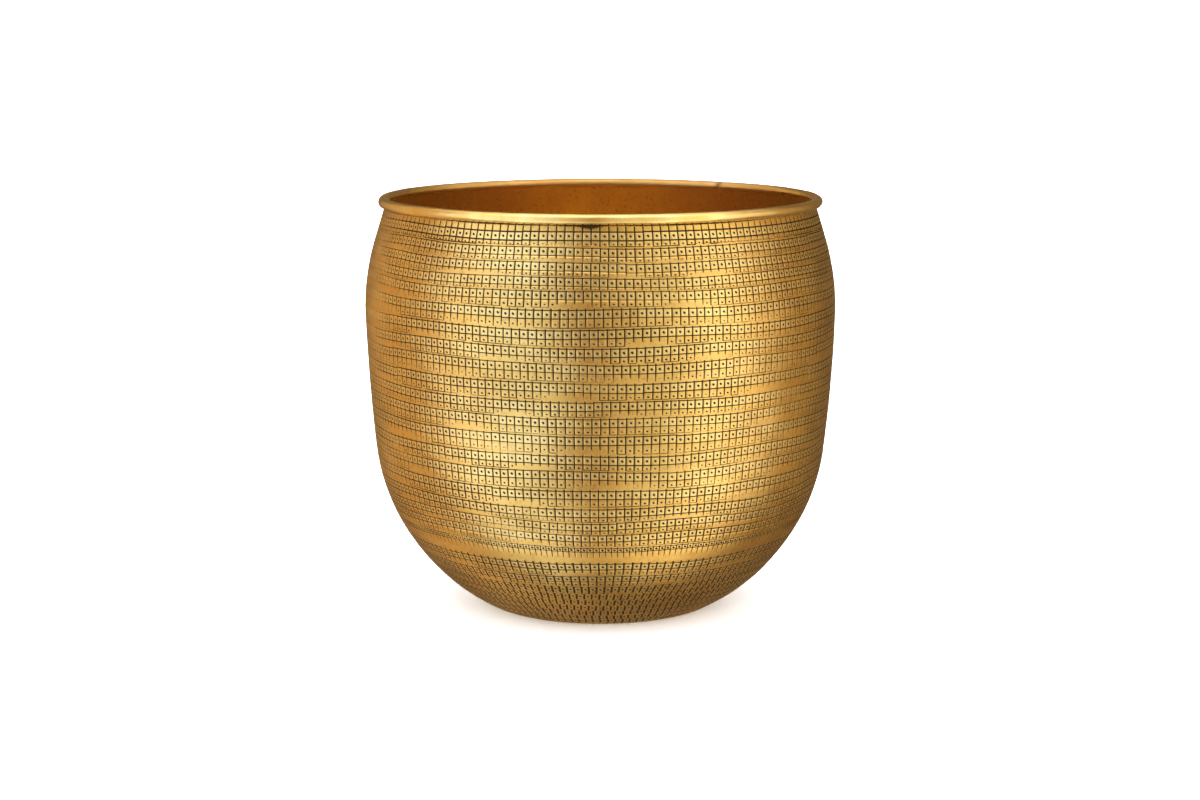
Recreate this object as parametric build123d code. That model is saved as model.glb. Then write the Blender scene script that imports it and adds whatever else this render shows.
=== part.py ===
from build123d import *

import os
from math import cos, degrees, radians, sin

# A round sheet-brass planter pot: one raised vessel with an open mouth, and a round brass rod bent into
# a ring and brazed on the vessel's top edge. The origin is the middle of the flat base, +Z is up, and
# all sizes are in millimetres. The front of the pot faces -Y.

# Overall size
height = 210.0  # floor to the top of the rim rod
widest_radius = 120.0  # outside of the belly
sheet = 1.2  # thickness of the raised sheet

# Rim rod
rod_diameter = 5.4
ring_radius = 110.0  # pot axis to the rod's centre line
joint_angle = 53.5  # where the rod's two ends meet, from +X towards +Y: the back right of the rim
joint_gap = 0.4  # open slit left between the rod's two ends

# Outside of the vessel, from the flat base up to the rim: tangent arcs, each given by its radius and by
# the slope of the wall where it ends (0 is flat, 90 is upright, and above 90 leans in to the mouth).
outer_arcs = [
    (10.0, 28.0),  # rounded edge of the base
    (104.5, 83.2),  # bowl
    (730.0, 88.6),  # long, nearly upright side
    (120.0, 107.0),  # shoulder
]
neck_slope = outer_arcs[-1][1]  # the neck is straight, with the slope that the shoulder ends on

rod_radius = rod_diameter / 2
ring_height = height - rod_radius


def spread_to_belly():
    """How far the arcs carry the wall outwards, from the flat base to the upright tangent at the belly."""
    spread, slope = 0.0, 0.0
    for bend, end_slope in outer_arcs:
        spread += bend * (sin(radians(min(end_slope, 90.0))) - sin(radians(slope)))
        slope = end_slope
    return spread


base_radius = widest_radius - spread_to_belly()


def arc_ends(inset):
    """Start, middle and end of each outer arc, moved inwards by the inset, as (radius, height) pairs."""
    radius, level, slope = base_radius, 0.0, 0.0
    ends = []
    for bend, end_slope in outer_arcs:
        centre_radius = radius - bend * sin(radians(slope))
        centre_level = level + bend * cos(radians(slope))
        points = []
        for angle in (slope, (slope + end_slope) / 2, end_slope):
            reach = bend - inset
            points.append(
                (
                    centre_radius + reach * sin(radians(angle)),
                    centre_level - reach * cos(radians(angle)),
                )
            )
        ends.append(points)
        radius = centre_radius + bend * sin(radians(end_slope))
        level = centre_level - bend * cos(radians(end_slope))
        slope = end_slope
    return ends


def wall_line(inset):
    """The vessel's outline from the axis to the level of the rod's centre, moved inwards by the inset."""
    arcs = arc_ends(inset)
    floor_line = Line((0, inset), arcs[0][0])
    bends = [ThreePointArc(*points) for points in arcs]
    neck_start = arcs[-1][2]
    rise = ring_height - neck_start[1]
    neck_end = (neck_start[0] + rise * cos(radians(neck_slope)) / sin(radians(neck_slope)), ring_height)
    return [floor_line, *bends, Line(neck_start, neck_end)]


def make_pot_body():
    """The raised vessel. Its top edge is hollowed to the rod's round, so the rod sits on it face to face."""
    outside = wall_line(0)
    inside = wall_line(sheet)
    top_edge = Line(outside[-1] @ 1, inside[-1] @ 1)
    axis_edge = Line(inside[0] @ 0, outside[0] @ 0)
    section = make_face([*outside, top_edge, *inside, axis_edge])
    rod_section = Pos(ring_radius, ring_height) * Circle(rod_radius)
    return revolve(Plane.XZ * (section - rod_section), Axis.Z, 360)


def make_rim_ring():
    """The open ring of round rod, with its two ends facing each other across a fine slit."""
    gap_angle = degrees(joint_gap / ring_radius)
    rod_section = Plane.XZ * Pos(ring_radius, ring_height) * Circle(rod_radius)
    ring = revolve(rod_section, Axis.Z, 360 - gap_angle)
    return Rot(0, 0, joint_angle + gap_angle / 2) * ring


pieces = {
    "pot_body": make_pot_body(),
    "rim_ring": make_rim_ring(),
}

os.makedirs("parts", exist_ok=True)
for name, piece in pieces.items():
    piece.label = name
    export_step(piece, f"parts/{name}.step")
    size = piece.bounding_box().size
    print(f"{name}: {size.X:.2f} x {size.Y:.2f} x {size.Z:.2f} mm, volume {piece.volume:.0f} mm3")

print(f"flat base radius {base_radius:.2f} mm")
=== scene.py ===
"""A raised sheet-brass planter pot with a rod rim, covered by hand-punched rows of small dotted squares.

The CAD model gives the sizes. The vessel is remade here as rings of fine mesh in which every punched line
and dot is cut, and the rim as a rod with its brazed joint. Lengths are in metres, the front faces -Y, and
angles are measured from the front towards +X."""

from math import cos, pi, radians, sin, tan, tau

import bpy
import numpy as np
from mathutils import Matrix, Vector


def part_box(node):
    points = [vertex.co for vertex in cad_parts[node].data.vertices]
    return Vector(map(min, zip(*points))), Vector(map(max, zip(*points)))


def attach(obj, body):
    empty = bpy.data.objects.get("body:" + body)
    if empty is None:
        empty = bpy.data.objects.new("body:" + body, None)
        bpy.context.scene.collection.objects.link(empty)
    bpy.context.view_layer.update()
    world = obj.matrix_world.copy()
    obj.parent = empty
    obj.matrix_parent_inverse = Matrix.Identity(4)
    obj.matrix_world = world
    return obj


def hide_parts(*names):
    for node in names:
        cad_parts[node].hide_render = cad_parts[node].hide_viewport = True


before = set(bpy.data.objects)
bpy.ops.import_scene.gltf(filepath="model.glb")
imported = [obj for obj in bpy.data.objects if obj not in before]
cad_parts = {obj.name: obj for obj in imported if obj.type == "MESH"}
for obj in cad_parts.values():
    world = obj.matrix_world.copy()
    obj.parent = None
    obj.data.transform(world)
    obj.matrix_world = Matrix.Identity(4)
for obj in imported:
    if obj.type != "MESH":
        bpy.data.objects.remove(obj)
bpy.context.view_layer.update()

MM = 0.001

# ---------------------------------------------------------------- sizes from the CAD model

body_low, body_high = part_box("pot_body")
rim_low, rim_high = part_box("rim_ring")
ROD_RADIUS = (rim_high.z - rim_low.z) / 2
RING_RADIUS = (rim_high.x - rim_low.x) / 2 - ROD_RADIUS
RING_HEIGHT = (rim_high.z + rim_low.z) / 2
BELLY_RADIUS = (body_high.y - body_low.y) / 2
SHEET = 1.2 * MM
JOINT_ANGLE = radians(90 + 53.5)  # where the rod's ends meet, from the front towards +X
JOINT_GAP = 0.4 * MM

# The outside of the vessel from the flat base up, as in the CAD part: the bend radius of each arc, and the
# slope of the wall where it ends. The neck goes straight on from the last one.
OUTER_ARCS = [(10 * MM, 28.0), (104.5 * MM, 83.2), (730 * MM, 88.6), (120 * MM, 107.0)]
OUTLINE_STEP = 0.25 * MM


def trace_outline():
    """The outside of the vessel from the axis to the rim: length along the wall, radius, height and slope."""
    spread, slope = 0.0, 0.0
    for bend, end in OUTER_ARCS:
        spread += bend * (sin(radians(min(end, 90))) - sin(radians(slope)))
        slope = end
    radius, height, slope, length = BELLY_RADIUS - spread, 0.0, 0.0, BELLY_RADIUS - spread
    points = [(0.0, 0.0, 0.0, 0.0), (length, radius, 0.0, 0.0)]
    for bend, end in OUTER_ARCS:
        steps = max(2, int(bend * radians(end - slope) / OUTLINE_STEP))
        for angle in np.radians(np.linspace(slope, end, steps + 1)[1:]):
            start = radians(slope)
            points.append(
                (
                    length + bend * (angle - start),
                    radius + bend * (sin(angle) - sin(start)),
                    height + bend * (cos(start) - cos(angle)),
                    angle,
                )
            )
        length, radius, height, _ = points[-1]
        slope = end
    lean = radians(slope)
    rise = RING_HEIGHT - height
    points.append((length + rise / sin(lean), radius + rise / tan(lean), RING_HEIGHT, lean))
    return np.array(points).T


wall_length, wall_radius, wall_height, wall_slope = trace_outline()
WALL_TOP = wall_length[-1]
FLAT_RADIUS = wall_length[1]


def radius_at(down):
    """Radius of the vessel at a distance down its wall, measured from the level of the rod's centre."""
    return np.interp(WALL_TOP - down, wall_length, wall_radius)


# ---------------------------------------------------------------- seeded unevenness


def around(angle):
    """An angle brought between -pi and pi."""
    return np.angle(np.exp(1j * angle))


class Waves:
    """A smooth random field over the wall, about -1 to 1, that closes on itself round the pot."""

    def __init__(self, seed, turns, down_wave, count=7):
        rng = np.random.default_rng(seed)
        self.turns = rng.integers(turns[0], turns[1] + 1, count)
        self.pitch = tau / (down_wave * rng.uniform(0.7, 1.6, count)) * rng.choice([-1, 1], count)
        self.phase = rng.uniform(0, tau, count)
        self.weight = rng.uniform(0.6, 1.0, count)

    def __call__(self, angle, down):
        total = 0.0
        for turns, pitch, phase, weight in zip(self.turns, self.pitch, self.phase, self.weight):
            total = total + weight * np.sin(turns * angle + pitch * down + phase)
        return total / np.sqrt((self.weight**2).sum() * 0.9)


dents = Waves(3, (3, 11), 90 * MM)
ripples = Waves(4, (12, 30), 30 * MM)
row_sway = Waves(5, (2, 9), 60 * MM)
polish = Waves(6, (2, 8), 55 * MM)
polish_fine = Waves(7, (8, 26), 14 * MM)
echo_field = Waves(8, (4, 18), 22 * MM)
DENT_DEPTH = 0.16 * MM
RIPPLE_DEPTH = 0.035 * MM


def surface_point(angle, down, depth):
    """A point of the wall, moved inwards by depth and by the pot's own hand-made unevenness."""
    along = WALL_TOP - down
    slope = np.interp(along, wall_length, wall_slope)
    fade = np.clip(down / (25 * MM), 0, 1) * np.clip((along - FLAT_RADIUS) / (35 * MM), 0, 1)
    uneven = fade * (DENT_DEPTH * dents(angle, down) + RIPPLE_DEPTH * ripples(angle, down))
    inwards = depth + uneven
    radius = np.interp(along, wall_length, wall_radius) - inwards * np.sin(slope)
    height = np.interp(along, wall_length, wall_height) + inwards * np.cos(slope)
    return np.stack([radius * np.sin(angle), -radius * np.cos(angle), height], -1)


# Places where the punch hardly bit or the patina was polished away: angle and width in degrees, distance
# down the wall and height in metres, and how much is lost.
WORN_PATCHES = [
    (50, 20, 100 * MM, 75 * MM, 0.62),  # the right of the front
    (78, 14, 90 * MM, 90 * MM, 0.45),  # its right edge
    (-76, 23, 45 * MM, 75 * MM, 0.93),  # its left edge, above
    (-74, 20, 150 * MM, 40 * MM, 0.4),  # its left edge, below
    (-4, 9, 78 * MM, 7 * MM, 0.45),  # four flat smears across the front
    (12, 12, 96 * MM, 5 * MM, 0.35),
    (-20, 13, 110 * MM, 8 * MM, 0.55),
    (-27, 10, 149 * MM, 12 * MM, 0.45),
    (150, 30, 70 * MM, 50 * MM, 0.5),  # two at the back
    (-150, 22, 120 * MM, 40 * MM, 0.45),
]


LEAST_PATINA = 0.06
MOST_PATINA = 1.1


def patina_left(angle, down):
    """How much dark patina the polishing left in the punched marks, 0 to about 1."""
    left = 0.92 + 0.16 * polish(angle, down) + 0.13 * polish_fine(angle, down)
    for at, width, at_down, height, lost in WORN_PATCHES:
        turn = around(angle - radians(at)) / radians(width)
        left = left * (1 - lost * np.exp(-(turn**2) - ((down - at_down) / height) ** 2))
    return np.clip(left, LEAST_PATINA, MOST_PATINA)


# Dirt left by the polishing: angle and width in degrees, distance down the wall and height in metres, amount.
GRIME = [(-2.6, 3.0, 3.6 * MM, 2.0 * MM, 0.55), (-8, 4, 2.6 * MM, 1.0 * MM, 0.3)]
# Painted shade: a thin dark line close under the rod, where the rod shades the wall. These give its distance
# down the wall and its height.
RIM_SHADE_DOWN = 2.8 * MM
RIM_SHADE_HEIGHT = 0.7 * MM


def grime_and_painted_shade(angle, down):
    """Painted shade and dirt on the wall: a thin dark line painted close under the rod, where the rod shades
    the wall, and a smudge or two of dirt.
    """
    close = np.exp(-(((down - RIM_SHADE_DOWN) / RIM_SHADE_HEIGHT) ** 2))
    amount = close * np.clip(0.70 + 0.35 * polish(angle, 0.0), 0.25, 1.0)
    for at, width, at_down, height, most in GRIME:
        turn = around(angle - radians(at)) / radians(width)
        amount = amount + most * np.exp(-(turn**2) - ((down - at_down) / height) ** 2)
    return np.nan_to_num(amount)


# ---------------------------------------------------------------- the punched rows

LINE_HALF = 0.45 * MM  # half the width of a punched line
LINE_DEPTH = 0.18 * MM
LINE_PATINA = 2.2  # above 1, so that the dark patina fills the mark almost to its edges
DOT_RADIUS = 0.84 * MM
DOT_DEPTH = 0.30 * MM
DOT_PATINA = 3.2
FAINT = 0.6  # a mark's patina goes with this power of its depth, so that light marks are dark too
DOT_CORNER = 0.72  # pulls the dot's corners in, so that it is round
CROWN = 0.02 * MM  # how far the middle of a square stands proud
SQUARE = 4.05 * MM
CLEAR = 0.12 * MM  # smooth strip left between the marks of two rows
LEAST_REACH = 0.3 * MM  # of a row beyond its squares, where the next row comes close
FIRST_ROW = 8.4 * MM
FRONT_SCATTER = 0.9 * MM  # how far a row's upright lines stray from those of other rows, at the front
ECHO_SHARE = 0.84  # share of the gap between two rows that belongs to the upper one and its echo
ROW_SWAY = 0.45 * MM
FIRST_RING = 3.4 * MM  # the punching starts this far below the level of the rod's centre

# The rings of a row, from its upper border to its lower one. The echo is the fainter second row of marks
# below each row, and the closing line runs under it.
(
    UPPER_BORDER,
    STROKE_TOP,
    TOP_OUTER,
    TOP_LINE,
    TOP_INNER,
    DOT_TOP,
    DOT,
    DOT_BOTTOM,
    BOTTOM_INNER,
    BOTTOM_LINE,
    BOTTOM_OUTER,
    ECHO_TOP,
    ECHO,
    ECHO_BOTTOM,
    CLOSING_TOP,
    CLOSING_LINE,
    LOWER_BORDER,
) = range(17)
RINGS = LOWER_BORDER + 1

# The columns of a square: the middle and the edge of its upright line, the dot's left, middle and right, and
# the edge of the next upright line.
LINE, LINE_EDGE, DOT_LEFT, DOT_MIDDLE, DOT_RIGHT, NEXT_EDGE = range(6)
COLUMNS = NEXT_EDGE + 1


class Row:
    """One row of punch marks round the pot, at a distance down the wall."""

    def __init__(self, down, pitch=SQUARE, half=2.05 * MM, **marks):
        self.down = down
        self.pitch = pitch  # width of one square
        self.half = half  # half the height of the squares
        self.lines = marks.get("lines", 1.0)  # strength of the lines along the row
        self.ticks = marks.get("ticks", 0.8)  # strength of the strokes above and below the squares
        self.dots = marks.get("dots", 1.0)
        self.echo = marks.get("echo", 1.0)  # strength of the faint second row below
        self.slips = marks.get("slips", 0.35 * MM)  # how far the hand slips from one run to the next
        self.slant = marks.get("slant", 0.0)  # lean of the upright lines
        self.bold = marks.get("bold", 1.0)  # width of the upright lines

    def centre(self, angle):
        return self.down + ROW_SWAY * row_sway(angle, self.down)


def plan_rows(rng):
    """The rows from the rim down to the base, with the uneven spacing of hand work."""
    rows = []

    def add(count, spacing, spread, **marks):
        for _ in range(count):
            rows.append(Row(add.down, **marks))
            add.down += spacing + spread * rng.uniform(-1, 1)

    add.down = FIRST_ROW
    add(5, 6.9 * MM, 0.9 * MM)
    add.down += 1.2 * MM
    add(12, 8.45 * MM, 1.0 * MM)
    add.down -= 0.8 * MM
    add(2, 6.8 * MM, 0.3 * MM, half=1.9 * MM, slant=0.05)
    thin = {"pitch": 2.9 * MM, "half": 1.25 * MM, "lines": 0.3, "ticks": 0.3, "slips": 0.7 * MM}
    add(1, 11.5 * MM, 0.0, echo=0.0, bold=0.7, **thin)
    add(2, 8.6 * MM, 0.3 * MM, half=1.9 * MM, lines=0.35, ticks=1.0, slant=0.06, bold=1.2)
    add.down -= 1.2 * MM
    base = {"pitch": 3.6 * MM, "half": 1.7 * MM, "lines": 0.1, "ticks": 1.0, "dots": 0.9, "slant": 0.1}
    add(8, 5.9 * MM, 0.5 * MM, bold=1.5, **base)
    return rows


class Strip:
    """Rings of points on the wall: angle, down, depth, patina and burnish, each an array (rings, columns)."""

    def __init__(self, angle, down, depth=None, patina=None, burnish=None):
        zero = np.zeros(np.broadcast(angle, down).shape)
        self.angle = angle + zero
        self.down = down + zero
        self.depth = zero if depth is None else depth
        self.patina = zero if patina is None else patina
        self.burnish = zero if burnish is None else burnish


def runs_of_blows(rng, cells):
    """Splits a row into the runs that the hand made in one go: the width of each cell and its slip."""
    width = 1 + rng.normal(0, 0.025, cells)
    slip = np.zeros(cells)
    start = 0
    while start < cells:
        length = int(rng.integers(7, 22))
        stop = min(start + length, cells)
        slip[start:stop] = rng.uniform(-0.6, 0.6) + np.linspace(-1, 1, stop - start) * rng.uniform(-0.5, 0.5)
        width[start] += rng.uniform(-0.12, 0.16)
        start = stop
    return width, slip


def ring_places(row, centre, reach_up, reach_down, slip):
    """How far down the wall each ring of a row lies."""
    outer = np.minimum(LINE_HALF, 0.35 * np.minimum(reach_up, reach_down))
    inner = row.half - LINE_HALF
    echo = row.half + 0.58 * reach_down
    echo_radius = np.minimum(0.8 * DOT_RADIUS, 0.22 * reach_down)
    places = np.empty((RINGS, *centre.shape))
    places[UPPER_BORDER] = -row.half - reach_up
    places[STROKE_TOP] = -row.half - 0.8 * reach_up + 0.2 * slip
    places[TOP_OUTER] = -row.half - outer + slip
    places[TOP_LINE] = -row.half + slip
    places[TOP_INNER] = -inner + slip
    places[DOT_TOP] = -DOT_RADIUS + slip
    places[DOT] = slip
    places[DOT_BOTTOM] = DOT_RADIUS + slip
    places[BOTTOM_INNER] = inner + slip
    places[BOTTOM_LINE] = row.half + slip
    places[BOTTOM_OUTER] = row.half + outer + slip
    places[ECHO_TOP] = echo - echo_radius + 0.3 * slip
    places[ECHO] = echo + 0.3 * slip
    places[ECHO_BOTTOM] = echo + echo_radius + 0.3 * slip
    places[CLOSING_TOP] = row.half + 0.92 * reach_down - outer
    places[CLOSING_LINE] = row.half + 0.92 * reach_down
    places[LOWER_BORDER] = row.half + reach_down
    return centre + places


def punch_row(row, above, below, rng):
    """The strip of one row: squares between two lines, a dot in each, and strokes that run on past them."""
    radius = float(radius_at(row.down))
    cells = round(tau * radius / row.pitch)
    width, slip = runs_of_blows(rng, cells)
    cell = width / width.sum() * tau
    edge = np.cumsum(cell) - cell + pi
    front = np.argmin(np.abs(around(edge)))
    edge += rng.normal(0, FRONT_SCATTER) / radius - around(edge[front])
    line = LINE_HALF * row.bold / radius
    dot = DOT_RADIUS / radius
    middle = cell / 2 + rng.normal(0, 0.02, cells) * cell
    offsets = np.stack([0 * cell, 0 * cell + line, middle - dot, middle, middle + dot, cell - line], -1)
    angle = edge[:, None] + offsets
    centre = row.centre(angle)
    reach_up = np.maximum(centre - above(angle) - CLEAR - row.half, LEAST_REACH)
    reach_down = np.maximum(below(angle) - centre - CLEAR - row.half, LEAST_REACH)
    room = 0.5 * np.minimum(reach_up, reach_down)
    slip_down = np.clip((slip * row.slips)[:, None], -room, room)
    rings = ring_places(row, centre, reach_up, reach_down, slip_down)
    angles = np.repeat(angle[None], RINGS, 0)
    for top, middle_ring, bottom in ((DOT_TOP, DOT, DOT_BOTTOM), (ECHO_TOP, ECHO, ECHO_BOTTOM)):
        for ring in (top, bottom):
            for column in (DOT_LEFT, DOT_RIGHT):
                across = angle[:, DOT_MIDDLE] - angle[:, column]
                upward = rings[middle_ring, :, DOT_MIDDLE] - rings[ring, :, column]
                angles[ring, :, column] += (1 - DOT_CORNER) * across
                rings[ring, :, column] += (1 - DOT_CORNER) * upward
    angles += row.slant * polish(angle[None], rings) * (rings - centre) / radius

    # How hard each blow landed: softly varying, with some blows light.
    blow = 1 - 0.3 * rng.random(cells) ** 2
    echo = row.echo * np.clip(0.80 + 0.85 * echo_field(angle[:, LINE], row.down), 0, 1)
    echo *= 0.75 + 0.25 * rng.random(cells)
    upright = np.zeros((RINGS, cells))
    upright[STROKE_TOP] = row.ticks * (0.5 + 0.5 * rng.random(cells))
    upright[TOP_OUTER : BOTTOM_OUTER + 1] = 1.0
    upright[ECHO_TOP] = np.maximum(0.55 * row.ticks * (0.4 + 0.6 * rng.random(cells)), 0.85 * echo)
    upright[ECHO : ECHO_BOTTOM + 1] = 0.8 * echo
    upright[CLOSING_TOP : CLOSING_LINE + 1] = 0.9 * echo * rng.random(cells)
    upright *= blow * (0.85 + 0.15 * rng.random(cells))
    along = np.zeros((RINGS, cells))
    along[TOP_LINE] = row.lines * blow * (0.8 + 0.2 * rng.random(cells))
    along[BOTTOM_LINE] = row.lines * blow * (0.85 + 0.15 * rng.random(cells))
    along[CLOSING_LINE] = row.lines * 0.5 * np.clip(1.6 * echo - 0.7, 0, 1) * (rng.random(cells) > 0.15)
    cut = np.repeat(along[:, :, None], COLUMNS, 2)
    cut[:, :, LINE] = np.maximum(upright, along)
    pit = np.zeros_like(cut)
    pit[DOT, :, DOT_MIDDLE] = row.dots * blow * (0.7 + 0.3 * rng.random(cells))
    pit[ECHO, :, DOT_MIDDLE] = row.dots * echo * (0.15 + 0.5 * rng.random(cells))

    crown = np.zeros_like(cut)
    crown[DOT_TOP : DOT_BOTTOM + 1, :, LINE_EDGE:] = 0.4
    crown[DOT_TOP : DOT_BOTTOM + 1, :, DOT_LEFT : DOT_RIGHT + 1] = 1.0
    crown *= (0.6 + 0.8 * rng.random(cells))[None, :, None]
    burnish = np.zeros_like(cut)
    burnish[TOP_INNER : BOTTOM_INNER + 1, :, LINE_EDGE:] = 1.0
    burnish[ECHO_TOP : ECHO_BOTTOM + 1, :, LINE_EDGE:] = 0.6 * echo[None, :, None]
    burnish *= (0.6 + 0.4 * rng.random(cells))[None, :, None]

    left = patina_left(angles, rings)
    bite = 0.2 + 0.8 * np.minimum(left, 1)
    depth = bite * (LINE_DEPTH * cut + DOT_DEPTH * pit) - CROWN * crown
    patina = np.maximum(LINE_PATINA * cut**FAINT, DOT_PATINA * pit**FAINT) * left
    flat = (RINGS, cells * COLUMNS)
    return Strip(*(grid.reshape(flat) for grid in (angles, rings, depth, patina, burnish)))


# ---------------------------------------------------------------- meshes

OUTSIDE, INSIDE, TOP_BUTT, BOTTOM_BUTT = range(4)
PLAIN_COLUMNS = 240
FINE_COLUMNS = 960  # beside the rod, where the painted shade line and the dirt show
BAKE_LAYER = "OFBake"
FOLDS = 5  # the outside of a band is laid out in this many strips
# Where each zone of a band lies in its layout: the foot of its first strip, and the height of each strip.
LAYOUT = {OUTSIDE: (0.0, 0.168), INSIDE: (0.845, 0.10), TOP_BUTT: (0.95, 0.02), BOTTOM_BUTT: (0.975, 0.02)}
LAYOUT_EDGE = 0.025
LAYOUT_GUTTER = 0.003


def plain_ring(*downs, columns=PLAIN_COLUMNS):
    """Smooth rings all round the wall at the given distances down it."""
    angle = np.linspace(0, tau, columns, endpoint=False)
    return Strip(angle[None], np.array(downs)[:, None])


class Skin:
    """Collects the points and faces of one band of the vessel, with what its material reads."""

    def __init__(self):
        self.points, self.patina, self.burnish, self.angle, self.down, self.inner = [], [], [], [], [], []
        self.faces, self.zones = [], []
        self.size = 0

    def add(self, strip, inset=0.0):
        """Adds a strip's points, and returns their numbers as an array (rings, columns)."""
        self.points.append(surface_point(strip.angle, strip.down, strip.depth + inset).reshape(-1, 3))
        for name in ("patina", "burnish", "angle", "down"):
            getattr(self, name).append(getattr(strip, name).ravel())
        # On the outside, the patina also takes a painted shade line close under the rod, and the dirt
        # smudges.
        if not inset:
            self.patina[-1] = np.maximum(self.patina[-1], grime_and_painted_shade(strip.angle, strip.down).ravel())
        self.inner.append(np.full(strip.angle.size, float(inset > 0)))
        numbers = self.size + np.arange(strip.angle.size).reshape(strip.angle.shape)
        self.size += strip.angle.size
        return numbers

    def join(self, faces, zone, flip=False):
        self.faces += [face[::-1] for face in faces] if flip else faces
        self.zones += [zone] * len(faces)

    def grid(self, numbers, zone, flip=False):
        """Joins neighbouring rings of one strip with quads."""
        upper, lower = numbers[:-1], numbers[1:]
        quads = np.stack([upper, lower, np.roll(lower, -1, 1), np.roll(upper, -1, 1)], -1)
        self.join(quads.reshape(-1, 4).tolist(), zone, flip)

    def zip(self, upper, lower, zone, flip=False):
        """Joins two rings with different numbers of columns by a band of triangles."""
        angles = np.concatenate(self.angle)
        a_angle, b_angle = angles[upper], angles[lower]
        lower = np.roll(lower, -np.argmin(np.abs(around(b_angle - a_angle[0]))))
        b_angle = a_angle[0] + np.unwrap(around(angles[lower] - a_angle[0]))
        a_angle = np.append(a_angle, a_angle[0] + tau)
        b_angle = np.append(b_angle, b_angle[0] + tau)
        a_ring = upper.tolist() + [int(upper[0])]
        b_ring = lower.tolist() + [int(lower[0])]
        faces = []
        a, b = 0, 0
        while a < len(upper) or b < len(lower):
            if b == len(lower) or (a < len(upper) and a_angle[a + 1] <= b_angle[b + 1]):
                faces.append([a_ring[a], b_ring[b], a_ring[a + 1]])
                a += 1
            else:
                faces.append([a_ring[a], b_ring[b], b_ring[b + 1]])
                b += 1
        self.join(faces, zone, flip)

    def close(self, ring, zone, inset=0.0, flip=False):
        """Closes the last ring round the pot's axis to a point."""
        pole = int(self.add(Strip(np.array([[np.nan]]), np.array([[WALL_TOP]])), inset)[0, 0])
        self.points[-1] = np.array([[0.0, 0.0, inset]])
        self.join([[int(a), pole, int(b)] for a, b in zip(ring, np.roll(ring, -1))], zone, flip)

    def layout(self):
        """A place in the bake layout for each corner of each face."""
        angle, down = np.concatenate(self.angle), np.concatenate(self.down)
        inner = np.concatenate(self.inner)
        sides = np.array([len(face) for face in self.faces])
        corner = np.concatenate([np.array(face) for face in self.faces])
        first = np.repeat(np.cumsum(sides) - sides, sides)
        zone = np.repeat(self.zones, sides)
        start = np.nan_to_num(angle[corner[first]]) % tau
        turn = start + np.nan_to_num(around(angle[corner] - start))
        folds = np.where(zone == OUTSIDE, FOLDS, 1)
        fold = np.floor(start / tau * folds)
        across = turn / tau * folds - fold
        outside = zone == OUTSIDE
        low, high = down[corner[outside]].min(), down[corner[outside]].max()
        up = np.where(zone >= TOP_BUTT, inner[corner], (down[corner] - low) / (high - low))
        foot = np.array([LAYOUT[key][0] for key in range(4)])[zone]
        tall = np.array([LAYOUT[key][1] for key in range(4)])[zone]
        u = LAYOUT_EDGE + (1 - 2 * LAYOUT_EDGE) * across
        v = foot + tall * fold + LAYOUT_GUTTER + (tall - 2 * LAYOUT_GUTTER) * np.clip(up, 0, 1)
        return np.stack([u, v], -1)

    def sharpen_butts(self, mesh, zones):
        """Keeps the shading of the wall's faces apart from that of the band's cut edges."""
        edge_of_corner = np.empty(len(mesh.loops), np.int32)
        mesh.loops.foreach_get("edge_index", edge_of_corner)
        at_butt = np.repeat(zones >= TOP_BUTT, [len(face) for face in self.faces])
        sharp = np.zeros(len(mesh.edges), bool)
        sharp[edge_of_corner[at_butt]] = True
        mesh.edges.foreach_set("use_edge_sharp", sharp)

    def build(self, name, materials):
        mesh = bpy.data.meshes.new(name)
        mesh.from_pydata(np.concatenate(self.points).tolist(), [], self.faces)
        zones = np.array(self.zones)
        mesh.polygons.foreach_set("use_smooth", zones < TOP_BUTT)
        mesh.polygons.foreach_set("material_index", np.minimum(zones, 1).astype(np.int32))
        for key in ("patina", "burnish"):
            layer = mesh.attributes.new(key, "FLOAT", "POINT")
            layer.data.foreach_set("value", np.concatenate(getattr(self, key)).astype(np.float32))
        uv = mesh.uv_layers.new(name=BAKE_LAYER)
        uv.data.foreach_set("uv", self.layout().astype(np.float32).ravel())
        self.sharpen_butts(mesh, zones)
        for material in materials:
            mesh.materials.append(material)
        mesh.update()
        return add_piece(name, mesh)


def add_piece(name, mesh):
    piece = bpy.data.objects.new(name, mesh)
    bpy.context.scene.collection.objects.link(piece)
    return piece


ROD_SEAT = 1.6 * MM  # the wall's outer face ends inside the rod, this far below the level of its centre
LINING_SEAT = 0.4 * MM  # and its inner face this far below
ROWS_PER_BAND = 3
INNER_STEP = 4 * MM
FLAT_RINGS = (1.0, 0.97, 0.85, 0.6, 0.35, 0.15)  # of the base, as shares of the flat's radius


def border_between(upper, lower):
    """The line between two rows. Most of the gap belongs to the upper row and its echo."""

    def border(angle):
        gap_top = upper.centre(angle) + upper.half
        gap_bottom = lower.centre(angle) - lower.half
        return gap_top + ECHO_SHARE * (gap_bottom - gap_top)

    return border


def wall_strips():
    """Every strip of the outside from the rod down to the middle of the base."""
    rng = np.random.default_rng(21)
    rows = plan_rows(rng)
    edge = FIRST_RING - CLEAR
    limits = [lambda angle: np.full_like(angle, edge)]
    for upper, lower in zip(rows[:-1], rows[1:]):
        limits.append(border_between(upper, lower))
    limits.append(lambda angle: np.full_like(angle, WALL_TOP - FLAT_RADIUS))
    strips = [plain_ring(ROD_SEAT, 2.4 * MM, FIRST_RING - 0.5 * MM, columns=FINE_COLUMNS)]
    for row, above, below in zip(rows, limits[:-1], limits[1:]):
        strips.append(punch_row(row, above, below, rng))
    strips.append(plain_ring(*(WALL_TOP - FLAT_RADIUS * share for share in FLAT_RINGS)))
    return strips


def lining_strip(top_down, bottom_down):
    """The inside of a band."""
    steps = max(2, round((bottom_down - top_down) / INNER_STEP) + 1)
    return plain_ring(*np.linspace(top_down, bottom_down, steps))


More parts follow.
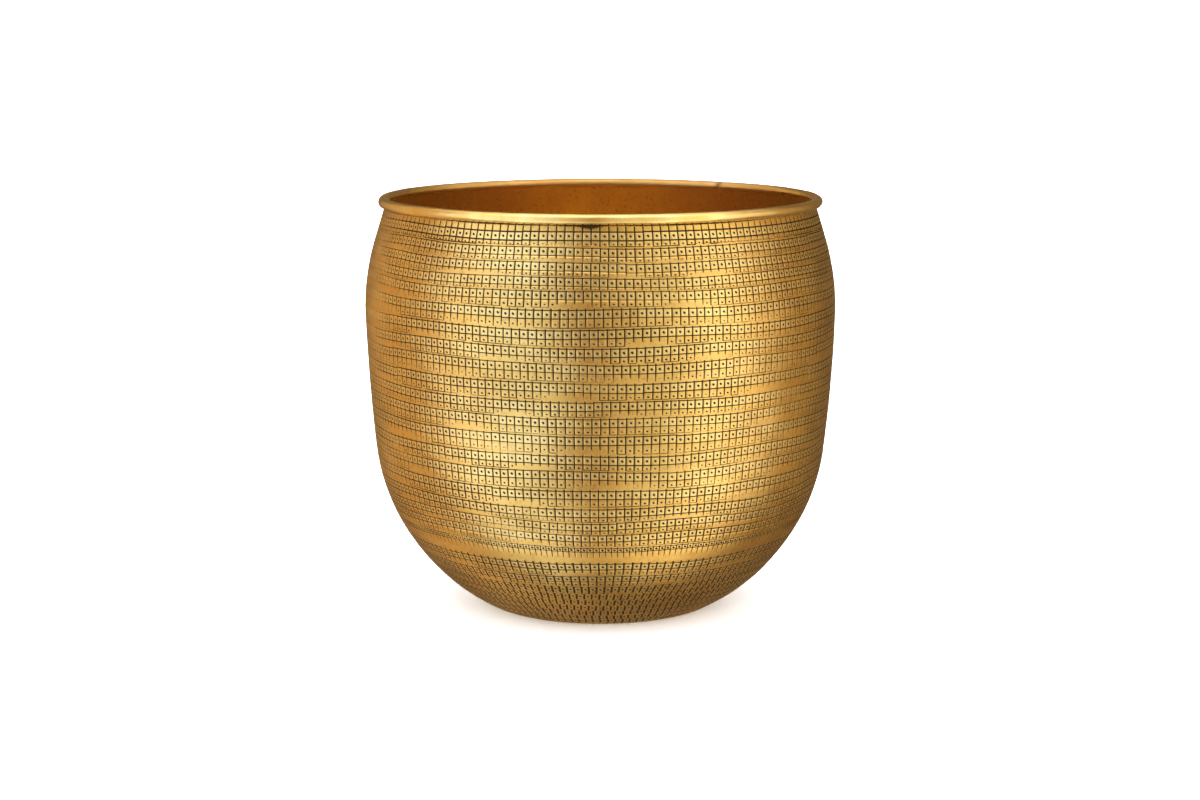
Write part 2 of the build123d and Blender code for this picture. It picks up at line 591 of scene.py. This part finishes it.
def make_vessel(outer_brass, inner_brass):
    """The vessel as closed bands of sheet, one above the other, the lowest with the base."""
    strips = wall_strips()
    starts = [0] + list(range(1 + ROWS_PER_BAND, len(strips) - ROWS_PER_BAND, ROWS_PER_BAND))
    bands = []
    for number, start in enumerate(starts):
        last = number == len(starts) - 1
        stop = len(strips) if last else starts[number + 1]
        skin = Skin()
        rings = [skin.add(strip) for strip in strips[start:stop]]
        for ring in rings:
            skin.grid(ring, OUTSIDE)
        for upper, lower in zip(rings[:-1], rings[1:]):
            skin.zip(upper[-1], lower[0], OUTSIDE)
        top = strips[start]
        top_down = float(top.down[0].mean()) if number else LINING_SEAT
        if last:
            bottom_down = WALL_TOP - FLAT_RINGS[-1] * FLAT_RADIUS
        else:
            bottom = strips[stop]
            boundary = Strip(bottom.angle[:1], bottom.down[:1])
            foot = skin.add(boundary)
            skin.zip(rings[-1][-1], foot[0], OUTSIDE)
            bottom_down = float(bottom.down[0].mean())
        lining = skin.add(lining_strip(top_down, bottom_down), SHEET)
        skin.grid(lining, INSIDE, flip=True)
        skin.zip(lining[0], rings[0][0], TOP_BUTT)
        if last:
            skin.close(rings[-1][-1], OUTSIDE)
            skin.close(lining[-1], INSIDE, SHEET, flip=True)
        else:
            skin.zip(foot[0], lining[-1], BOTTOM_BUTT)
        bands.append(skin.build(f"vessel_band_{number + 1}", (outer_brass, inner_brass)))
    return bands


ROD_STATIONS = 720
ROD_SIDES = 40
ROD_FOLDS = 6  # the rod is laid out for baking in this many strips
FOLD_MARGIN = 0.03
FOLD_FILLED = 0.94  # share of a strip's height that the rod takes up
ROD_LAYOUT_HEIGHT = 0.94
CAP_PLACES = (0.1, 0.2)  # of the rod's two cut ends, above the strips
CAP_RADIUS = 0.02
CAP_HEIGHT = 0.97
rod_wobble = Waves(11, (3, 14), 1.0)
rod_file_marks = Waves(12, (30, 80), 1.0, count=9)
SHADED_BACK_WIDTH = radians(62)  # the back of the rod is rougher and darkened by painted shade, this far to either side
END_TAPER = 3.0 * MM  # the rod is thinner over this length beside its joint
STAIN_LENGTH = 2.2 * MM


def rod_surface(turn, side):
    """A point on the rim's rod: turn is round the pot, side is round the rod from outside over the top."""
    from_end = np.minimum(turn, tau - turn) * RING_RADIUS
    taper = 1 - 0.10 * np.exp(-((from_end / END_TAPER) ** 2))
    uneven = 1 + 0.012 * rod_wobble(turn, 0) + 0.006 * rod_file_marks(turn, side)
    radius = ROD_RADIUS * taper * uneven
    reach = RING_RADIUS + 0.12 * MM * rod_wobble(2 * turn, 1.0) + radius * np.cos(side)
    height = RING_HEIGHT - 0.04 * ROD_RADIUS + 0.96 * radius * np.sin(side)
    angle = JOINT_ANGLE + turn
    return np.stack([reach * np.sin(angle), -reach * np.cos(angle), height], -1)


def make_rim(brass):
    """The rod of the rim, bent round until its two ends meet."""
    half_gap = JOINT_GAP / 2 / RING_RADIUS
    turn = np.linspace(half_gap, tau - half_gap, ROD_STATIONS)
    side = np.linspace(0, tau, ROD_SIDES, endpoint=False)
    points = rod_surface(turn[:, None], side[None]).reshape(-1, 3)
    numbers = np.arange(len(points)).reshape(ROD_STATIONS, ROD_SIDES)
    left, right = numbers[:-1], numbers[1:]
    quads = np.stack([left, right, np.roll(right, -1, 1), np.roll(left, -1, 1)], -1).reshape(-1, 4)
    faces = quads.tolist() + [numbers[0].tolist(), numbers[-1][::-1].tolist()]
    mesh = bpy.data.meshes.new("rim_rod")
    mesh.from_pydata(points.tolist(), [], faces)
    mesh.polygons.foreach_set("use_smooth", [True] * len(quads) + [False, False])

    from_end = np.minimum(turn, tau - turn) * RING_RADIUS
    stain = np.exp(-from_end / STAIN_LENGTH)
    # Painted shade: the back of the rod is darker, and it is also rougher.
    dull_and_shaded = np.exp(-((around(turn + JOINT_ANGLE - pi) / SHADED_BACK_WIDTH) ** 4))
    for key, values in (("stain", stain), ("dull_and_shaded", dull_and_shaded)):
        layer = mesh.attributes.new(key, "FLOAT", "POINT")
        layer.data.foreach_set("value", np.repeat(values, ROD_SIDES).astype(np.float32))
    uv = mesh.uv_layers.new(name=BAKE_LAYER)
    station, place = np.arange(ROD_STATIONS - 1)[:, None], np.arange(ROD_SIDES)[None]
    fold = station * ROD_FOLDS // (ROD_STATIONS - 1)
    corners = []
    for step_along, step_round in ((0, 0), (1, 0), (1, 1), (0, 1)):
        across = (station + step_along) * ROD_FOLDS / (ROD_STATIONS - 1) - fold + 0 * place
        up = fold + (place + step_round) / ROD_SIDES * FOLD_FILLED + FOLD_MARGIN
        up = up / ROD_FOLDS * ROD_LAYOUT_HEIGHT
        corners.append(np.stack([LAYOUT_EDGE + (1 - 2 * LAYOUT_EDGE) * across, up], -1))
    corners = np.stack(corners, 2).reshape(-1, 2)
    caps = []
    cap_across, cap_up = CAP_RADIUS * np.cos(side), CAP_RADIUS * np.sin(side)
    for middle in CAP_PLACES:
        caps.append(np.stack([middle + cap_across, CAP_HEIGHT + cap_up], -1))
    uv.data.foreach_set("uv", np.concatenate([corners, *caps]).astype(np.float32).ravel())
    mesh.materials.append(brass)
    return add_piece("rim_rod", mesh)


BRAZE_HALF_LENGTH = 1.1 * MM


def make_braze(material):
    """The lump of braze that holds the rod's two ends together, fuller on its under side."""
    rng = np.random.default_rng(31)
    stations, sides = 15, 24
    along = np.linspace(-1, 1, stations)
    side = np.linspace(0, tau, sides, endpoint=False)
    swell = (1 - along**2)[:, None] ** 0.5 * (0.12 - 0.10 * np.sin(side - 0.4))[None] * MM
    swell += rng.normal(0, 0.03, (stations, sides)) * MM * (1 - along**2)[:, None] - 0.06 * MM
    turn = along[:, None] * BRAZE_HALF_LENGTH / RING_RADIUS
    radius = 0.9 * ROD_RADIUS + swell
    reach = RING_RADIUS + radius * np.cos(side)[None]
    height = RING_HEIGHT + radius * np.sin(side)[None] + 0 * turn
    angle = JOINT_ANGLE + turn + 0 * side[None]
    points = np.stack([reach * np.sin(angle), -reach * np.cos(angle), height], -1).reshape(-1, 3)
    numbers = np.arange(len(points)).reshape(stations, sides)
    left, right = numbers[:-1], numbers[1:]
    quads = np.stack([left, right, np.roll(right, -1, 1), np.roll(left, -1, 1)], -1).reshape(-1, 4)
    mesh = bpy.data.meshes.new("rim_braze")
    mesh.from_pydata(points.tolist(), [], quads.tolist() + [numbers[0].tolist(), numbers[-1][::-1].tolist()])
    mesh.polygons.foreach_set("use_smooth", [True] * len(quads) + [False, False])
    mesh.materials.append(material)
    return add_piece("rim_braze", mesh)


# ---------------------------------------------------------------- materials


class Nodes:
    """Makes the nodes of a tree by short calls. Inputs may be plain values or other nodes' sockets."""

    def __init__(self, tree, place):
        self.tree = tree
        self.tree.nodes.clear()
        self.place = self.node("TexCoord").outputs[place]

    def node(self, kind, settings=None, inputs=None):
        made = self.tree.nodes.new("ShaderNode" + kind)
        for key, value in (settings or {}).items():
            setattr(made, key, value)
        for key, value in (inputs or {}).items():
            if isinstance(value, bpy.types.NodeSocket):
                self.tree.links.new(value, made.inputs[key])
            else:
                made.inputs[key].default_value = value
        return made

    def attribute(self, name):
        return self.node("Attribute", {"attribute_name": name}).outputs["Fac"]

    def noise(self, across, up, detail=2.0, roughness=0.5, shift=0.0):
        """Noise with so many cells to the metre across the pot and up it, about 0.3 to 0.7."""
        inputs = {"Vector": self.place, "Scale": (across, across, up), "Location": (shift, shift, shift)}
        stretched = self.node("Mapping", None, inputs).outputs["Vector"]
        inputs = {"Vector": stretched, "Scale": 1.0, "Detail": detail, "Roughness": roughness}
        return self.node("TexNoise", None, inputs).outputs["Fac"]

    def remap(self, value, low, high, to_low=0.0, to_high=1.0, smooth=False):
        settings = {"interpolation_type": "SMOOTHSTEP" if smooth else "LINEAR"}
        inputs = {"Value": value, "From Min": low, "From Max": high, "To Min": to_low, "To Max": to_high}
        return self.node("MapRange", settings, inputs).outputs["Result"]

    def math(self, operation, first, second):
        return self.node("Math", {"operation": operation}, {0: first, 1: second}).outputs[0]

    def mix(self, amount, first, second, kind="MIX"):
        settings = {"data_type": "RGBA", "blend_type": kind}
        return self.node("Mix", settings, {0: amount, 6: first, 7: second}).outputs[2]

    def bump(self, height, distance, strength=1.0, normal=None):
        inputs = {"Height": height, "Distance": distance, "Strength": strength}
        if normal is not None:
            inputs["Normal"] = normal
        return self.node("Bump", None, inputs).outputs["Normal"]

    def vector_math(self, operation, first, second=None):
        inputs = {0: first} if second is None else {0: first, 1: second}
        made = self.node("VectorMath", {"operation": operation}, inputs)
        return made.outputs["Value" if operation == "DOT_PRODUCT" else "Vector"]


class Shader(Nodes):
    """A material, made by the same short calls."""

    def __init__(self, name):
        self.material = bpy.data.materials.new(name)
        self.material.use_nodes = True
        super().__init__(self.material.node_tree, "Object")

    def finish(self, **inputs):
        named = {key.replace("_", " "): value for key, value in inputs.items()}
        surface = self.node("BsdfPrincipled", None, named).outputs["BSDF"]
        self.node("OutputMaterial", None, {"Surface": surface})
        return self.material


# The dark colour of the patina, also used for the painted shade line under the rod and for the dirt.
PATINA_AND_SHADE_COLOUR = (0.055, 0.042, 0.020, 1)


def outer_brass():
    """Satin brass: pale on the punched squares, orange where it is smooth, darker towards the bottom, dark
    patina in every mark, and a painted shade line under the rod.
    """
    s = Shader("outer_brass")
    height = s.node("SeparateXYZ", None, {0: s.place}).outputs["Z"]
    bands = s.remap(s.noise(9, 190, 3, 0.6), 0.36, 0.64)
    clouds = s.remap(s.noise(26, 34, 3, 0.55, 4.0), 0.38, 0.66)
    grain = s.noise(900, 900, 3, 0.6, 9.0)
    brushed = s.noise(55, 2600, 2, 0.6, 2.0)
    mottle = s.remap(s.noise(420, 460, 3, 0.65, 13.0), 0.50, 0.68)
    low = s.remap(height, 0.085, 0.004, smooth=True)

    raised = s.math("MULTIPLY", s.attribute("burnish"), 0.62)
    raised = s.math("ADD", raised, s.math("MULTIPLY", bands, 0.25))
    colour = s.mix(raised, (0.81, 0.50, 0.145, 1), (0.92, 0.73, 0.36, 1))
    # Darker in random clouds and mottle, and darker towards the bottom of the pot.
    darker_tone = s.math("ADD", s.math("MULTIPLY", clouds, 0.38), s.math("MULTIPLY", low, 0.35))
    darker_tone = s.math("ADD", darker_tone, s.math("MULTIPLY", mottle, 0.40))
    colour = s.mix(darker_tone, colour, (0.50, 0.27, 0.07, 1))
    # The patina attribute also holds the painted shade line close under the rod and the dirt smudges.
    patina_dirt_and_shade = s.math("MULTIPLY", s.attribute("patina"), s.remap(grain, 0.3, 0.7, 0.75, 1.25))
    dark = s.remap(patina_dirt_and_shade, 0.14, 0.55, smooth=True)
    colour = s.mix(dark, colour, PATINA_AND_SHADE_COLOUR)

    roughness = s.math("ADD", s.remap(bands, 0, 1, 0.32, 0.27), s.math("MULTIPLY", dark, 0.3))
    roughness = s.math("ADD", roughness, s.remap(grain, 0.3, 0.7, -0.04, 0.06))
    normal = s.bump(brushed, 0.004 * MM)
    normal = s.bump(grain, 0.006 * MM, normal=normal)
    return s.finish(Base_Color=colour, Roughness=roughness, Metallic=1.0, Normal=normal)


def inner_brass():
    """The bare inside: deep orange brass with faint upright streaks and specks."""
    s = Shader("inner_brass")
    streaks = s.remap(s.noise(150, 9, 3, 0.6), 0.35, 0.65)
    specks = s.remap(s.noise(700, 700, 2, 0.6, 3.0), 0.60, 0.70)
    clouds = s.remap(s.noise(30, 30, 2, 0.5, 7.0), 0.35, 0.65)
    colour = s.mix(streaks, (0.74, 0.46, 0.12, 1), (0.82, 0.54, 0.16, 1))
    colour = s.mix(s.math("MULTIPLY", clouds, 0.3), colour, (0.62, 0.33, 0.08, 1))
    colour = s.mix(s.math("MULTIPLY", specks, 0.5), colour, (0.25, 0.10, 0.02, 1))
    roughness = s.remap(streaks, 0, 1, 0.42, 0.34)
    normal = s.bump(s.noise(900, 60, 2, 0.6, 5.0), 0.01 * MM)
    return s.finish(Base_Color=colour, Roughness=roughness, Metallic=1.0, Normal=normal)


def rim_brass():
    """The rod, rubbed bright by hand, with long fine scratches, a brown stain at its joint, and a rougher
    back darkened by painted shade.
    """
    s = Shader("rim_brass")
    tone = s.remap(s.noise(60, 60, 3, 0.6), 0.35, 0.65)
    scratch = s.noise(140, 2400, 2, 0.6, 3.0)
    colour = s.mix(tone, (0.84, 0.56, 0.19, 1), (0.93, 0.71, 0.32, 1))
    # Painted shade: the back of the rod is mixed towards dark brown, and it is made rougher.
    dull_and_shaded = s.attribute("dull_and_shaded")
    colour = s.mix(s.math("MULTIPLY", dull_and_shaded, 0.75), colour, (0.52, 0.27, 0.075, 1))
    colour = s.mix(s.remap(s.attribute("stain"), 0.25, 0.9), colour, (0.24, 0.115, 0.03, 1))
    roughness = s.math("ADD", s.remap(tone, 0, 1, 0.30, 0.20), s.math("MULTIPLY", dull_and_shaded, 0.22))
    normal = s.bump(scratch, 0.006 * MM)
    return s.finish(Base_Color=colour, Roughness=roughness, Metallic=1.0, Normal=normal)


def braze_metal():
    """Rough brown braze with scale on it."""
    s = Shader("braze_metal")
    scale = s.noise(1400, 1400, 3, 0.6)
    colour = s.mix(s.remap(scale, 0.4, 0.6), (0.26, 0.13, 0.04, 1), (0.50, 0.28, 0.085, 1))
    roughness = s.remap(scale, 0.3, 0.7, 0.5, 0.7)
    normal = s.bump(scale, 0.05 * MM)
    return s.finish(Base_Color=colour, Roughness=roughness, Metallic=0.85, Normal=normal)


# ---------------------------------------------------------------- the object

outer = outer_brass()
inner = inner_brass()
for band in make_vessel(outer, inner):
    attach(band, "root")
    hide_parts("pot_body")

rod = make_rim(rim_brass())
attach(rod, "root")
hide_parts("rim_ring")
braze = make_braze(braze_metal())
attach(braze, "root")
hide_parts("rim_ring")

# ---------------------------------------------------------------- camera, floor and light

scene = bpy.context.scene
scene.view_settings.view_transform = "Standard"

CAMERA_DISTANCE = 1.205  # from the pot's axis along the line of sight
CAMERA_PITCH = radians(9.67)
CAMERA_ASIDE = -0.2 * MM
AIM_HEIGHT = 103.8 * MM
LENS = 70.0
SENSOR_WIDTH = 36.0


def make_camera():
    data = bpy.data.cameras.new("camera")
    data.lens = LENS
    data.sensor_width = SENSOR_WIDTH
    camera = bpy.data.objects.new("camera", data)
    back = CAMERA_DISTANCE * cos(CAMERA_PITCH)
    camera.location = (CAMERA_ASIDE, -back, AIM_HEIGHT + CAMERA_DISTANCE * sin(CAMERA_PITCH))
    camera.rotation_euler = (pi / 2 - CAMERA_PITCH, 0, 0)
    scene.collection.objects.link(camera)
    scene.camera = camera


FLOOR_GLOW = 0.18  # light that the paper gives of itself close to the pot, kept low there to paint a soft shadow round the foot
FULL_GLOW = 1.1  # and far from it, enough for plain white
GLOW_START = 58 * MM  # from the pot's axis
GLOW_END = 140 * MM
FLOOR_MIDDLE = 0.25  # the radius of the flat middle of the floor
FLOOR_RADIUS = 3.5
BACKDROP_BEND = 1.5
BACKDROP_HEIGHT = 5.0


def make_floor():
    """A white floor that bends up into a white backdrop all round, so that no horizon shows."""
    profile = [(radius, 0.0) for radius in np.linspace(FLOOR_MIDDLE, FLOOR_RADIUS, 14)]
    for bend in np.linspace(0, pi / 2, 9)[1:]:
        profile.append((FLOOR_RADIUS + BACKDROP_BEND * sin(bend), BACKDROP_BEND * (1 - cos(bend))))
    profile.append((FLOOR_RADIUS + BACKDROP_BEND, BACKDROP_HEIGHT))
    sides = 96
    angle = np.linspace(0, tau, sides, endpoint=False)
    rings = [np.stack([r * np.cos(angle), r * np.sin(angle), z + 0 * angle], -1) for r, z in profile]
    numbers = np.arange(len(rings) * sides).reshape(len(rings), sides)
    near, far = numbers[:-1], numbers[1:]
    quads = np.stack([near, far, np.roll(far, -1, 1), np.roll(near, -1, 1)], -1).reshape(-1, 4)
    mesh = bpy.data.meshes.new("floor")
    mesh.from_pydata(np.concatenate(rings).tolist(), [], quads.tolist() + [numbers[0].tolist()])
    mesh.polygons.foreach_set("use_smooth", [True] * len(mesh.polygons))
    s = Shader("floor_paper")
    tone = s.remap(s.noise(3, 3, 2, 0.5), 0.3, 0.7)
    colour = s.mix(tone, (0.86, 0.86, 0.86, 1), (0.88, 0.88, 0.88, 1))
    distance = s.node("VectorMath", {"operation": "LENGTH"}, {0: s.place}).outputs["Value"]
    # The glow grows with distance from the pot's axis, so the floor round the foot is darker: a painted
    # shadow.
    glow = s.remap(distance, GLOW_START, GLOW_END, FLOOR_GLOW, FULL_GLOW, smooth=True)
    light = {"Emission_Color": (1, 1, 1, 1), "Emission_Strength": glow}
    mesh.materials.append(s.finish(Base_Color=colour, Roughness=0.9, Specular_IOR_Level=0.0, **light))
    floor = add_piece("floor", mesh)
    floor.visible_glossy = False
    floor.visible_shadow = False


def make_light(name, azimuth, elevation, distance, width, height, radiance):
    """A soft panel that faces the pot and lights the floor, but isn't mirrored in the metal."""
    data = bpy.data.lights.new(name, "AREA")
    data.shape = "RECTANGLE"
    data.size = width
    data.size_y = height
    data.energy = radiance * pi * width * height
    light = bpy.data.objects.new(name, data)
    a, e = radians(azimuth), radians(elevation)
    away = Vector((sin(a) * cos(e), -cos(a) * cos(e), sin(e)))
    middle = Vector((0, 0, AIM_HEIGHT))
    light.location = middle + away * distance
    light.rotation_euler = (middle - light.location).to_track_quat("-Z", "Y").to_euler()
    light.visible_glossy = False
    scene.collection.objects.link(light)


# What the brass mirrors: soft bright screens round the pot, as azimuth, half width and softness in degrees,
# the sine of the elevation below which the screen has faded out (below -1 it reaches all the way down), and
# the light that each adds.
SCREENS = [
    (0, 50, 40, -1.6, (0.225, 0.145, 0.052)),
    (-52, 30, 14, -1.6, (0.78, 1.06, 1.26)),
    (-102, 39, 21, -0.95, (0.52, 0.34, 0.145)),
    (40, 31, 11, -1.6, (0.55, 0.65, 0.58)),
    (68, 22, 12, -1.3, (0.73, 0.70, 0.60)),
    (97, 25, 18, -0.70, (0.28, 0.20, 0.08)),
]
FADE = 0.5  # a screen grows to its full light over this much of the sine of the elevation
ROOM = (0.19, 0.125, 0.065, 1)
FLOOR_LIGHT = (0.14, 0.105, 0.06, 1)  # what the pale floor adds to the room
UNDER = (0.27, 0.20, 0.11, 1)  # straight below, in the pot's own shadow
PATCH_TOWARD = (-0.37, 0.35, -0.86)  # towards a brighter patch of the floor, on the left behind the pot
PATCH = (0.30, 0.22, 0.11, 1)
CEILING = (1.0, 0.95, 0.85, 1)


def make_world():
    """The room that the metal mirrors. It isn't seen by the camera and doesn't light the floor."""
    world = bpy.data.worlds.new("studio")
    world.use_nodes = True
    w = Nodes(world.node_tree, "Generated")
    heading = w.vector_math("NORMALIZE", w.vector_math("MULTIPLY", w.place, (1, 1, 0)))
    height = w.node("SeparateXYZ", None, {0: w.place}).outputs["Z"]
    colour = ROOM
    for azimuth, half_width, softness, foot, light in SCREENS:
        a = radians(azimuth)
        toward = w.vector_math("DOT_PRODUCT", heading, (sin(a), -cos(a), 0))
        edge_in, edge_out = radians(max(half_width - softness, 0)), radians(half_width + softness)
        amount = w.remap(toward, cos(edge_out), cos(edge_in), smooth=True)
        amount = w.math("MULTIPLY", amount, w.remap(height, foot, foot + FADE, smooth=True))
        colour = w.mix(amount, colour, (*light, 1), "ADD")
    colour = w.mix(w.remap(height, -0.30, -0.90, smooth=True), colour, FLOOR_LIGHT, "ADD")
    colour = w.mix(w.remap(height, -0.94, -0.996, smooth=True), colour, UNDER)
    patch = w.remap(w.vector_math("DOT_PRODUCT", w.place, PATCH_TOWARD), 0.90, 0.985, smooth=True)
    colour = w.mix(patch, colour, PATCH, "ADD")
    colour = w.mix(w.remap(height, 0.60, 0.90, smooth=True), colour, CEILING, "ADD")
    background = w.node("Background", None, {"Color": colour, "Strength": 1.0}).outputs[0]
    w.node("OutputWorld", None, {"Surface": background})
    world.cycles_visibility.diffuse = False
    scene.world = world


make_camera()
make_floor()
make_world()
make_light("overhead", azimuth=0, elevation=89, distance=2.2, width=3.0, height=3.0, radiance=0.24)
for turn in range(0, 360, 60):
    make_light(f"fill_{turn}", azimuth=turn, elevation=22, distance=2.6, width=2.4, height=1.8, radiance=0.36)
